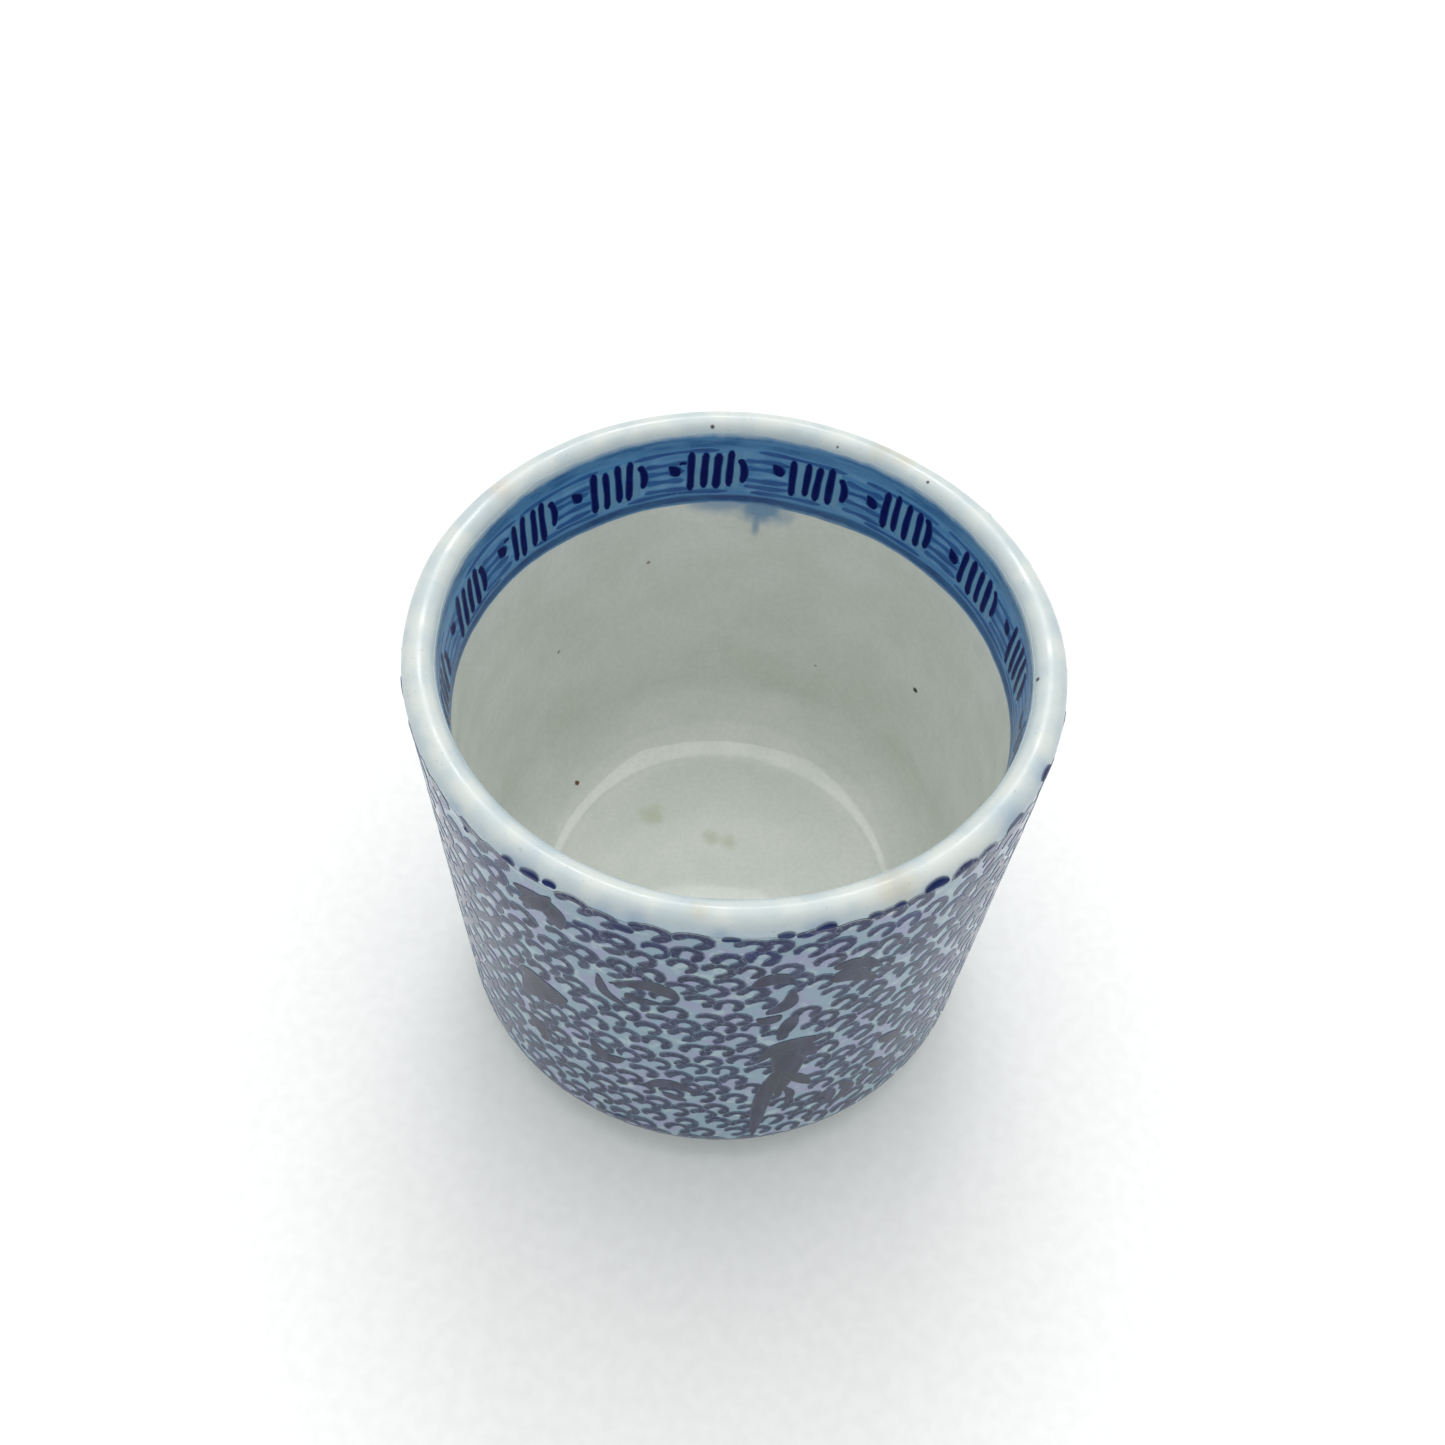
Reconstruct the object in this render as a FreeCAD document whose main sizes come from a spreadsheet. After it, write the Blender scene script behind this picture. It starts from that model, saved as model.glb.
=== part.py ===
import FreeCAD, Part
import math
import os
import Sketcher

# A small porcelain teacup without a handle: a thrown body with a rounded lower corner, standing on a turned
# foot ring, with cobalt painting on the body and a clear glaze over both. Every layer is a solid of its own,
# and all of them share the cup's axis, which is +Z. The origin is on that axis, where the foot ring meets the
# table. Sizes are in millimetres and angles in degrees. The cup's outlines are measured over the glaze, and the
# bare porcelain is one glaze thickness inside them.

SIZES = {
    # the glazed cup's outside
    "rim_radius": 38.0,
    "rim_level": 68.1,
    "lip_radius": 1.9,
    "corner_centre": 27.6,
    "corner_radius": 8.0,
    "underside_level": 1.8,
    # the glazed cup's inside
    "bend_centre": 21.6,
    "bend_radius": 10.0,
    "floor_level": 12.0,
    # the foot ring and the hollow inside it
    "foot_radius": 25.5,
    "foot_bottom_radius": 24.9,
    "well_radius": 21.3,
    "well_bottom_radius": 21.9,
    "well_level": 4.6,
    "well_glaze_edge": 2.8,
    # the layers
    "glaze_thickness": 0.5,
    "paint_thickness": 0.15,
    # where the glazes and the painting begin and end
    "lip_glaze_level": 67.2,
    "outer_paint_top": 66.9,
    "outer_paint_bottom": 2.8,
    "border_top": 67.0,
    "border_bottom": 56.9,
    "top_line_width": 1.2,
    "bottom_line_width": 1.4,
    # the border's upright strokes
    "stroke_groups": 16,
    "strokes_in_group": 5,
    "stroke_pitch_angle": 2.95,
    "stroke_width": 0.9,
    "stroke_lean": 0.8,
    # a cone that lies inside the wall and divides the outer glaze from the inner one
    "divider_level": 10.0,
    "divider_height": 60.0,
    "divider_low_radius": 33.6,
    "divider_high_radius": 36.1,
}

# What is added to an outline to reach each layer: outwards on the outside, and inwards on the inside.
OUTWARDS = {
    "bare": "- glaze_thickness",
    "painted": "- glaze_thickness + paint_thickness",
    "glazed": "",
}
INWARDS = {
    "bare": "+ glaze_thickness",
    "painted": "+ glaze_thickness - paint_thickness",
    "glazed": "",
}

START = 1
END = 2
CENTRE = 3
SKETCH_ORIGIN = (-1, 1)
SKETCH_RADIUS_AXIS = -1
SKETCH_HEIGHT_AXIS = -2
ON_AXIS = ""
ON_TABLE = ""

doc = FreeCAD.newDocument("Teacup")
sheet = doc.addObject("Spreadsheet::Sheet", "Sizes")
for row, (alias, size) in enumerate(SIZES.items(), start=1):
    sheet.set(f"A{row}", alias)
    sheet.set(f"B{row}", str(size))
    sheet.setAlias(f"B{row}", alias)
doc.recompute()


def value(terms):
    """The number that a sum of sizes such as "rim_radius - glaze_thickness" stands for."""
    total = 0.0
    sign = 1.0
    for term in terms.split():
        if term == "+":
            sign = 1.0
        elif term == "-":
            sign = -1.0
        else:
            total += sign * SIZES[term]
    return total


def bound(terms):
    """The same sum as an expression that reads the spreadsheet."""
    return " ".join(term if term in "+-" else f"Sizes.{term}" for term in terms.split())


def bind(obj, prop, terms):
    obj.setExpression(prop, bound(terms))


def new_sketch(body, name, plane):
    """A sketch on one of the body's own origin planes. Its x is the radius and its y is the height."""
    sketch = body.newObject("Sketcher::SketchObject", name)
    support = [feature for feature in body.Origin.OriginFeatures if feature.Role == plane]
    sketch.AttachmentSupport = [(support[0], "")]
    sketch.MapMode = "FlatFace"
    return sketch


def line(sketch, start, end):
    """A line between two points, each a pair of sums for the radius and the height."""
    points = [FreeCAD.Vector(value(radius), value(height), 0) for radius, height in (start, end)]
    return sketch.addGeometry(Part.LineSegment(*points))


def arc(sketch, centre, radius, start_angle, end_angle):
    """An arc whose centre and radius read the spreadsheet. Its ends are left for the outline to settle."""
    middle = FreeCAD.Vector(value(centre[0]), value(centre[1]), 0)
    circle = Part.Circle(middle, FreeCAD.Vector(0, 0, 1), value(radius))
    number = sketch.addGeometry(Part.ArcOfCircle(circle, math.radians(start_angle), math.radians(end_angle)))
    place(sketch, number, CENTRE, centre)
    measure(sketch, ("Radius", number), radius)
    return number


def measure(sketch, what, terms):
    """A dimension of the sketch that reads the spreadsheet."""
    number = sketch.addConstraint(Sketcher.Constraint(*what, value(terms)))
    sketch.setExpression(f"Constraints[{number}]", bound(terms))


def constrain(sketch, *constraint):
    sketch.addConstraint(Sketcher.Constraint(*constraint))


def place(sketch, geometry, end, point):
    """Ties a point of the sketch to its radius and its height. ON_AXIS and ON_TABLE stand for zero."""
    radius, height = point
    if radius == ON_AXIS:
        constrain(sketch, "PointOnObject", geometry, end, SKETCH_HEIGHT_AXIS)
    else:
        measure(sketch, ("DistanceX", *SKETCH_ORIGIN, geometry, end), radius)
    if height == ON_TABLE:
        constrain(sketch, "PointOnObject", geometry, end, SKETCH_RADIUS_AXIS)
    else:
        measure(sketch, ("DistanceY", *SKETCH_ORIGIN, geometry, end), height)


def revolve(body, sketch):
    """Turns the sketch round the cup's axis into the body's solid."""
    turned = body.newObject("PartDesign::Revolution", f"{body.Label}_turned")
    turned.Profile = sketch
    turned.ReferenceAxis = (sketch, ["V_Axis"])
    turned.Angle = 360
    return turned


def ring(name, corners):
    """A turned ring whose section has straight sides between its corners."""
    body = doc.addObject("PartDesign::Body", name)
    sketch = new_sketch(body, f"{name}_section", "XZ_Plane")
    sides = [line(sketch, start, end) for start, end in zip(corners, corners[1:] + corners[:1])]
    for side, previous, corner in zip(sides, sides[-1:] + sides[:-1], corners):
        constrain(sketch, "Coincident", previous, END, side, START)
        place(sketch, side, START, corner)
    revolve(body, sketch)
    return body


def cup_form(name, layer, keel):
    """The whole cup turned from one section, out to the given layer. The keel is the corner under the floor,
    a pair of sums, where the section leaves the underside for the hollow."""
    out = OUTWARDS[layer]
    into = INWARDS[layer]
    under = f"underside_level {into}"
    corner = ("corner_centre", "underside_level + corner_radius")
    lip = ("rim_radius - lip_radius", "rim_level")
    bend = ("bend_centre", "floor_level + bend_radius")
    keel_radius, keel_level = keel
    wall_foot = (f"corner_centre + corner_radius {out}", corner[1])
    inside_foot = (f"bend_centre + bend_radius {into}", bend[1])

    body = doc.addObject("PartDesign::Body", name)
    sketch = new_sketch(body, f"{name}_section", "XZ_Plane")
    axis = line(sketch, (ON_AXIS, "floor_level"), (ON_AXIS, keel_level))
    hollow_top = line(sketch, (ON_AXIS, keel_level), keel)
    hollow_side = line(sketch, keel, (keel_radius, under))
    underside = line(sketch, (keel_radius, under), ("corner_centre", under))
    lower_corner = arc(sketch, corner, f"corner_radius {out}", -90, -2)
    wall = line(sketch, wall_foot, (f"rim_radius {out}", "rim_level"))
    rounded_lip = arc(sketch, lip, f"lip_radius {out}", 0, 180)
    inside_wall = line(sketch, (f"rim_radius - lip_radius - lip_radius {into}", "rim_level"), inside_foot)
    inside_bend = arc(sketch, bend, f"bend_radius {into}", -90, -2)
    floor = line(sketch, ("bend_centre", "floor_level"), (ON_AXIS, "floor_level"))

    place(sketch, axis, END, (ON_AXIS, keel_level))
    constrain(sketch, "PointOnObject", axis, START, SKETCH_HEIGHT_AXIS)
    constrain(sketch, "Coincident", axis, END, hollow_top, START)
    place(sketch, hollow_top, END, keel)
    constrain(sketch, "Coincident", hollow_top, END, hollow_side, START)
    constrain(sketch, "Vertical", hollow_side)
    constrain(sketch, "Coincident", hollow_side, END, underside, START)
    constrain(sketch, "Horizontal", underside)
    constrain(sketch, "Coincident", underside, END, lower_corner, START)
    constrain(sketch, "Vertical", lower_corner, CENTRE, lower_corner, START)
    constrain(sketch, "Tangent", lower_corner, END, wall, START)
    constrain(sketch, "Coincident", wall, END, rounded_lip, START)
    constrain(sketch, "Horizontal", rounded_lip, CENTRE, rounded_lip, START)
    constrain(sketch, "Horizontal", rounded_lip, CENTRE, rounded_lip, END)
    constrain(sketch, "Coincident", rounded_lip, END, inside_wall, START)
    constrain(sketch, "Tangent", inside_wall, END, inside_bend, END)
    constrain(sketch, "Vertical", inside_bend, CENTRE, inside_bend, START)
    constrain(sketch, "Coincident", inside_bend, START, floor, START)
    constrain(sketch, "Coincident", floor, END, axis, START)
    constrain(sketch, "Horizontal", floor)
    revolve(body, sketch)
    return body


def slab(name, bottom, top):
    """A disc wider than the cup between two levels, which picks out a band of a layer."""
    disc = doc.addObject("Part::Cylinder", name)
    bind(disc, "Radius", "rim_radius + lip_radius")
    disc.setExpression("Height", f"({bound(top)}) - ({bound(bottom)})")
    bind(disc, "Placement.Base.z", bottom)
    return disc


def joined(kind, name, base, tool):
    """A boolean of two objects, of kind Cut or Common."""
    result = doc.addObject(f"Part::{kind}", name)
    result.Base = base
    result.Tool = tool
    return result


def common(name, base, tool):
    return joined("Common", name, base, tool)


def cut(name, base, tool):
    return joined("Cut", name, base, tool)


def stroke_blades():
    """Thin leaning blades that stand in groups round the axis, each a solid of its own. Where they pass
    through the border's ring they leave its upright strokes."""
    near = sheet.get("rim_radius") - 4 * sheet.get("lip_radius")
    low = sheet.get("border_bottom")
    high = sheet.get("border_top")
    width = sheet.get("stroke_width")
    lean = sheet.get("stroke_lean")
    corners = [(0, low), (width, low), (width + lean, high), (lean, high), (0, low)]
    outline = Part.makePolygon([FreeCAD.Vector(near, y, z) for y, z in corners])
    blade = Part.Face(outline).extrude(FreeCAD.Vector(4 * sheet.get("lip_radius"), 0, 0))
    blades = []
    for group in range(int(sheet.get("stroke_groups"))):
        for stroke in range(int(sheet.get("strokes_in_group"))):
            turn = 360 * group / sheet.get("stroke_groups") + stroke * sheet.get("stroke_pitch_angle")
            blades.append(blade.rotated(FreeCAD.Vector(0, 0, 0), FreeCAD.Vector(0, 0, 1), turn))
    feature = doc.addObject("Part::Feature", "stroke_blades")
    feature.Shape = Part.makeCompound(blades)
    feature.Placement = FreeCAD.Placement()
    return feature


# The bare porcelain, and the same form grown out to the painting's and to the glaze's surface. The grown forms
# leave the foot ring's seat bare, so nothing but the ring touches it.
well_ceiling = "well_level + glaze_thickness"
porcelain_body = cup_form("porcelain_body", "bare", ("well_radius", well_ceiling))
painted_form = cup_form("painted_form", "painted", ("foot_radius", f"{well_ceiling} + glaze_thickness"))
glazed_form = cup_form("glazed_form", "glazed", ("foot_radius", f"{well_ceiling} + glaze_thickness"))

foot_top = f"underside_level {INWARDS['bare']}"
foot_ring = ring(
    "foot_ring",
    [
        ("well_bottom_radius", ON_TABLE),
        ("foot_bottom_radius", ON_TABLE),
        ("foot_radius", foot_top),
        ("well_radius", foot_top),
    ],
)

# The glaze in the hollow lines its ceiling and the upper part of its side.
well_lining = "well_radius - glaze_thickness"
base_glaze = ring(
    "base_glaze",
    [
        (ON_AXIS, "well_level"),
        (well_lining, "well_level"),
        (well_lining, "well_glaze_edge"),
        ("well_radius", "well_glaze_edge"),
        ("well_radius", well_ceiling),
        (ON_AXIS, well_ceiling),
    ],
)

divider = doc.addObject("Part::Cone", "divider")
bind(divider, "Radius1", "divider_low_radius")
bind(divider, "Radius2", "divider_high_radius")
bind(divider, "Height", "divider_height")
bind(divider, "Placement.Base.z", "divider_level")

# The painting: one band outside, and a border inside with a line above, a line below and strokes between.
paint_coat = cut("paint_coat", painted_form, porcelain_body)
outer_band = common("outer_band", paint_coat, slab("outer_band_slab", "outer_paint_bottom", "outer_paint_top"))
outer_painting = cut("outer_painting", outer_band, divider)
border_coat = common("border_coat", paint_coat, slab("border_slab", "border_bottom", "border_top"))
border_ring = common("border_ring", border_coat, divider)
top_line_bottom = "border_top - top_line_width"
bottom_line_top = "border_bottom + bottom_line_width"
border_top_line = common("border_top_line", border_ring, slab("top_line_slab", top_line_bottom, "border_top"))
border_bottom_line = common(
    "border_bottom_line", border_ring, slab("bottom_line_slab", "border_bottom", bottom_line_top)
)
border_middle = common("border_middle", border_ring, slab("middle_slab", bottom_line_top, top_line_bottom))
blades = stroke_blades()
border_strokes = common("border_strokes", border_middle, blades)
border_wash = cut("border_wash", border_middle, blades)

# The glaze: a skin over body and painting, told apart at the lip, outside and inside.
glaze_coat = cut("glaze_coat", glazed_form, porcelain_body)
lip_slab = slab("lip_slab", "lip_glaze_level", "rim_level + lip_radius + lip_radius")
lip_glaze = common("lip_glaze", glaze_coat, lip_slab)
glaze_below_lip = cut("glaze_below_lip", glaze_coat, lip_slab)
inside_coat = common("inside_coat", glaze_below_lip, divider)
inner_glaze = cut("inner_glaze", inside_coat, border_ring)
outside_coat = cut("outside_coat", glaze_below_lip, divider)
outer_glaze = cut("outer_glaze", outside_coat, outer_painting)

PIECES = [
    porcelain_body,
    foot_ring,
    outer_painting,
    border_top_line,
    border_wash,
    border_strokes,
    border_bottom_line,
    outer_glaze,
    lip_glaze,
    inner_glaze,
    base_glaze,
]

doc.recompute()
for obj in doc.Objects:
    if "Invalid" in obj.State or "Error" in obj.State:
        raise RuntimeError(f"{obj.Label} didn't compute: {obj.State}")
for piece in PIECES:
    if piece.Shape.isNull() or not piece.Shape.isValid() or not piece.Shape.Solids:
        raise RuntimeError(f"{piece.Label} has no sound solid")

os.makedirs("parts", exist_ok=True)
for piece in PIECES:
    piece.Shape.exportStep(f"parts/{piece.Label}.step")
    box = piece.Shape.optimalBoundingBox(False)
    print(
        f"{piece.Label}: {len(piece.Shape.Solids)} solid(s), {piece.Shape.Volume:.1f} mm3,",
        f"radius {box.XMax:.2f}, z {box.ZMin:.2f} to {box.ZMax:.2f}",
    )
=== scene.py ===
# Looks of a small handleless porcelain teacup, painted in cobalt under the glaze and thrown by hand.
# Lengths are in millimetres until a piece is finished, when it is brought to metres.
import math
import random

import bmesh
import bpy
from mathutils import Matrix, Vector, noise


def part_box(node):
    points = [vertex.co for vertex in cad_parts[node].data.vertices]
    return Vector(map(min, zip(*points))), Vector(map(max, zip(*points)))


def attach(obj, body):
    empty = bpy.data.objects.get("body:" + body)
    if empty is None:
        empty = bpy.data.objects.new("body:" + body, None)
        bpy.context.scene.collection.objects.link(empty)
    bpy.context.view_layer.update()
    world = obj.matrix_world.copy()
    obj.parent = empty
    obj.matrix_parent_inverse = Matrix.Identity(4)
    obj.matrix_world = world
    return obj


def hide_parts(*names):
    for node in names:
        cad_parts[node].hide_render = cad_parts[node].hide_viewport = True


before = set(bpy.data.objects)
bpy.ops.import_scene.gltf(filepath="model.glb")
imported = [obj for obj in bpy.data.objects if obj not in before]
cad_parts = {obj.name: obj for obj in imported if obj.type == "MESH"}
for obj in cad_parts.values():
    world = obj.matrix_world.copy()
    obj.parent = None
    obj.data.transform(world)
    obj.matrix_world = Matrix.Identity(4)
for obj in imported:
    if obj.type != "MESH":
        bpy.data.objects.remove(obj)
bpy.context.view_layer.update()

MM = 0.001
FRONT = -math.pi / 2
BACK = math.pi / 2

# The cup's sizes, from the CAD parts.
lip_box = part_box("lip_glaze")
glaze_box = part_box("outer_glaze")
inner_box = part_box("inner_glaze")
foot_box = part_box("foot_ring")
base_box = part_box("base_glaze")
GLAZE_THICKNESS = 0.5
RIM_RADIUS = lip_box[1].x / MM
LIP_RADIUS = 1.9
RIM_LEVEL = round(lip_box[1].z / MM, 1) - LIP_RADIUS
UNDERSIDE = glaze_box[0].z / MM
CORNER_RADIUS = 8.0
CORNER_CENTRE = 27.6
FLOOR_LEVEL = inner_box[0].z / MM + GLAZE_THICKNESS
BEND_RADIUS = 10.0
BEND_CENTRE = 21.6
FOOT_RADIUS = foot_box[1].x / MM
WELL_RADIUS = base_box[1].x / MM
WELL_LEVEL = 4.6
LIP_GLAZE_DEPTH = RIM_LEVEL - lip_box[0].z / MM
BORDER_TOP = RIM_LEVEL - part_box("border_top_line")[1].z / MM
BORDER_STROKES_TOP = RIM_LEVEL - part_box("border_strokes")[1].z / MM
BORDER_STROKES_FOOT = RIM_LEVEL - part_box("border_strokes")[0].z / MM
BORDER_FOOT = RIM_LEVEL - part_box("border_bottom_line")[0].z / MM

# Steps round the wheel, and how deep a coat of glaze or a film of cobalt goes into what lies under it.
STEPS_ROUND = 320
COAT_DEPTH = 0.35
FILM_DEPTH = 0.07

# How high each layer of painting stands over the glaze, too little to see.
WASH_LIFT = 0.015
LINE_LIFT = 0.03
GAP_LIFT = 0.042
FINE_LIFT = 0.054
STROKE_LIFT = 0.068
LEAF_LIFT = 0.082

# How far the lip's roll of glaze swells over its neighbours.
ROLL_SWELL = 0.05

# Girths that turn a place on the flat painting into a place round the wall.
OUTSIDE_GIRTH = 36.5
INSIDE_GIRTH = 34.0


# ---------------------------------------------------------------- the cup's walls


class Wall:
    """One face of the cup: over the lip, straight down, round a bend, then flat towards the middle.
    A place on it is how far it lies below the rim's widest circle, along the wall."""

    def __init__(self, rim_radius, bend_centre, bend_level, bend_radius, faces):
        self.bend_centre, self.bend_level, self.bend_radius = bend_centre, bend_level, bend_radius
        self.faces = faces
        across, up = rim_radius - bend_centre, RIM_LEVEL - bend_level
        reach = math.hypot(across, up)
        self.lean = math.atan2(up, across) - math.acos(bend_radius / reach)
        self.straight = math.sqrt(reach**2 - bend_radius**2)
        self.bent = bend_radius * (self.lean + math.pi / 2)

    def at(self, along, lift=0.0):
        """Radius and level of a place on the wall, lifted off it."""
        lip_centre = RIM_RADIUS - LIP_RADIUS
        if along < 0:
            turn = -along / LIP_RADIUS if self.faces > 0 else math.pi + along / LIP_RADIUS
            reach = LIP_RADIUS + lift
            return lip_centre + reach * math.cos(turn), RIM_LEVEL + reach * math.sin(turn)
        bend = min(max(along - self.straight, 0.0), self.bent)
        turn = self.lean - bend / self.bend_radius
        reach = self.bend_radius + self.faces * lift
        radius = self.bend_centre + reach * math.cos(turn)
        level = self.bend_level + reach * math.sin(turn)
        above = max(self.straight - along, 0.0)
        flat = max(along - self.straight - self.bent, 0.0)
        return radius - above * math.sin(turn) - flat, level + above * math.cos(turn)


outside = Wall(RIM_RADIUS, CORNER_CENTRE, UNDERSIDE + CORNER_RADIUS, CORNER_RADIUS, 1)
inside = Wall(RIM_RADIUS - 2 * LIP_RADIUS, BEND_CENTRE, FLOOR_LEVEL + BEND_RADIUS, BEND_RADIUS, -1)
LIP_TOP = -math.pi * LIP_RADIUS / 2
FOOT_ALONG = outside.straight + outside.bent + CORNER_CENTRE - FOOT_RADIUS
MIDDLE_ALONG = inside.straight + inside.bent + BEND_CENTRE

# Where the pieces in the foot's hollow end, out of sight behind its side.
BEHIND_WELL = WELL_RADIUS + 0.2


def smooth_step(low, high, value):
    share = min(max((value - low) / (high - low), 0.0), 1.0)
    return share * share * (3 - 2 * share)


def throw_by_hand(bm):
    """Gives a turned form the small unevenness of a cup that was thrown, dried and fired."""
    for vert in bm.verts:
        x, y, level = vert.co
        radius = math.hypot(x, y)
        if radius < 1e-6:
            continue
        around = math.atan2(y, x)
        rise = smooth_step(4.0, RIM_LEVEL, level)
        oval = 0.16 * math.cos(2 * around + 0.7) + 0.07 * math.sin(3 * around + 2.0)
        lumps = 0.10 * noise.noise(Vector((x * 0.09, y * 0.09, level * 0.05)))
        ridges = 0.028 * math.sin(2 * math.pi * level / 6.4 + around) * smooth_step(14.0, 24.0, radius)
        change = rise * oval + smooth_step(3.0, 12.0, level) * lumps + rise * ridges
        wave = 0.13 * math.sin(2 * around + 2.4) + 0.07 * math.sin(5 * around)
        wave += 0.04 * math.sin(9 * around + 1.0)
        vert.co.x = x * (radius + change) / radius
        vert.co.y = y * (radius + change) / radius
        vert.co.z = level + wave * smooth_step(40.0, RIM_LEVEL, level)


# ---------------------------------------------------------------- making and finishing a piece


def turn_on_wheel(outline, steps=STEPS_ROUND):
    """Spins an outline of (radius, level) points once round the axis."""
    bm = bmesh.new()
    verts = [bm.verts.new((radius, 0.0, level)) for radius, level in outline]
    edges = [bm.edges.new(pair) for pair in zip(verts, verts[1:])]
    if outline[0][0] > 0 or outline[-1][0] > 0:
        edges.append(bm.edges.new((verts[-1], verts[0])))
    bmesh.ops.spin(
        bm, geom=verts + edges, cent=(0, 0, 0), axis=(0, 0, 1),
        angle=2 * math.pi, steps=steps, use_merge=True,
    )
    bmesh.ops.remove_doubles(bm, verts=bm.verts, dist=0.001)
    bmesh.ops.recalc_face_normals(bm, faces=bm.faces)
    return bm


def sharpen(bm, angle):
    """Keeps the shading crisp over edges that bend more than the angle."""
    for edge in bm.edges:
        edge.smooth = edge.calc_face_angle(0.0) < angle


def finish_piece(bm, name, finish, nodes=(), crease=math.radians(50)):
    """Turns the modelled piece into an object in metres that rides with the cup."""
    sharpen(bm, crease)
    bmesh.ops.scale(bm, vec=(MM, MM, MM), verts=bm.verts)
    mesh = bpy.data.meshes.new(name)
    bm.to_mesh(mesh)
    bm.free()
    mesh.materials.append(finish)
    for face in mesh.polygons:
        face.use_smooth = True
    piece = bpy.data.objects.new(name, mesh)
    bpy.context.scene.collection.objects.link(piece)
    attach(piece, "root")
    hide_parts(*nodes)
    return piece


def spread(low, high, count):
    """Evenly spaced values, both ends among them."""
    return [low + (high - low) * step / (count - 1) for step in range(count)]


# ---------------------------------------------------------------- brushwork


class Painting:
    """A flat sheet of brush strokes, in mm: x runs round the wall, y up it, and z is the lift."""

    def __init__(self):
        self.bm = bmesh.new()
        self.ink = self.bm.verts.layers.float.new("ink")
        self.tone = self.bm.verts.layers.float.new("tone")

    def stroke(self, path, width, lift, segments=8, across=2, tone=0.5):
        """Lays one brush stroke along path(share), as wide as width(share), with ink thin at its edges."""
        made = bmesh.ops.create_grid(self.bm, x_segments=segments, y_segments=across, size=0.5)
        for vert in made["verts"]:
            share = vert.co.x + 0.5
            share = 0.5 * share + 0.25 * (1 - math.cos(math.pi * share))
            side = 2 * vert.co.y
            place, ahead = path(share), path(share + 0.01) - path(share - 0.01)
            square = Vector((-ahead.y, ahead.x)).normalized()
            place = place + square * side * 0.5 * width(share)
            at_end = min(share, 1 - share) < 1e-4
            vert[self.ink] = 0.0 if at_end else 1 - abs(side)
            vert[self.tone] = tone
            vert.co = (place.x, place.y, lift)

    def put_on(self, wall, girth, front, way):
        """Makes closed films of the strokes and bends them round the wall."""
        bmesh.ops.solidify(self.bm, geom=self.bm.faces[:], thickness=FILM_DEPTH)
        sharpen(self.bm, math.radians(60))
        for vert in self.bm.verts:
            around = front + way * vert.co.x / girth
            climb = (ROLL_SWELL + 0.03) * smooth_step(LIP_GLAZE_DEPTH, -0.4, -vert.co.y)
            radius, level = wall.at(-vert.co.y, vert.co.z + climb)
            vert.co = (radius * math.cos(around), radius * math.sin(around), level)
        throw_by_hand(self.bm)
        return self.bm

    def put_outside(self):
        return self.put_on(outside, OUTSIDE_GIRTH, FRONT, 1)

    def put_inside(self):
        return self.put_on(inside, INSIDE_GIRTH, BACK, -1)


def curve_through(*points):
    """A smooth path through a few (round, down) places, held a little past both ends."""
    places = [Vector((x, -y)) for x, y in points]
    places = [2 * places[0] - places[1]] + places + [2 * places[-1] - places[-2]]
    spans = len(places) - 3

    def path(share):
        reach = share * spans
        first = min(max(int(reach), 0), spans - 1)
        t = reach - first
        a, b, c, d = places[first : first + 4]
        curve = 2 * b + (c - a) * t
        curve += (2 * a - 5 * b + 4 * c - d) * t**2
        curve += (3 * b - a - 3 * c + d) * t**3
        return 0.5 * curve

    return path


def round_ended(width, wobble=0.0, phase=0.0):
    """A stroke's width with rounded ends and the small swellings of a loaded brush."""

    def at(share):
        end = max(min(share, 1 - share), 0.0)
        rounding = 0.45 + 0.55 * smooth_step(0.0, 0.12, end)
        return width * rounding * (1 + wobble * math.sin(9 * share + phase))

    return at


def dab_shaped(width, phase):
    """A dab with a round outline, a little lumpy."""

    def at(share):
        off = min(abs(2 * share - 1), 1.0)
        return width * (0.12 + 0.95 * math.sqrt(1 - off**2)) * (1 + 0.1 * math.sin(7 * share + phase))

    return at


def leaf_shaped(width, fullest=0.5):
    """A mark that swells from a point and narrows to a point again."""

    def at(share):
        share = min(max(share, 0.0), 1.0)
        bent = share ** (math.log(0.5) / math.log(fullest))
        return width * (0.06 + 0.94 * math.sin(math.pi * min(max(bent, 0.0), 1.0)) ** 0.8)

    return at


# ---------------------------------------------------------------- finishes

# The sockets by which a Mix node takes and gives colours.
FIRST_COLOUR, SECOND_COLOUR, MIXED_COLOUR = 6, 7, 2


def linear(red, green, blue):
    """A colour mixed in 0 to 255, as the shader wants it."""
    return tuple(((c / 255 + 0.055) / 1.055) ** 2.4 for c in (red, green, blue)) + (1.0,)


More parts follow.
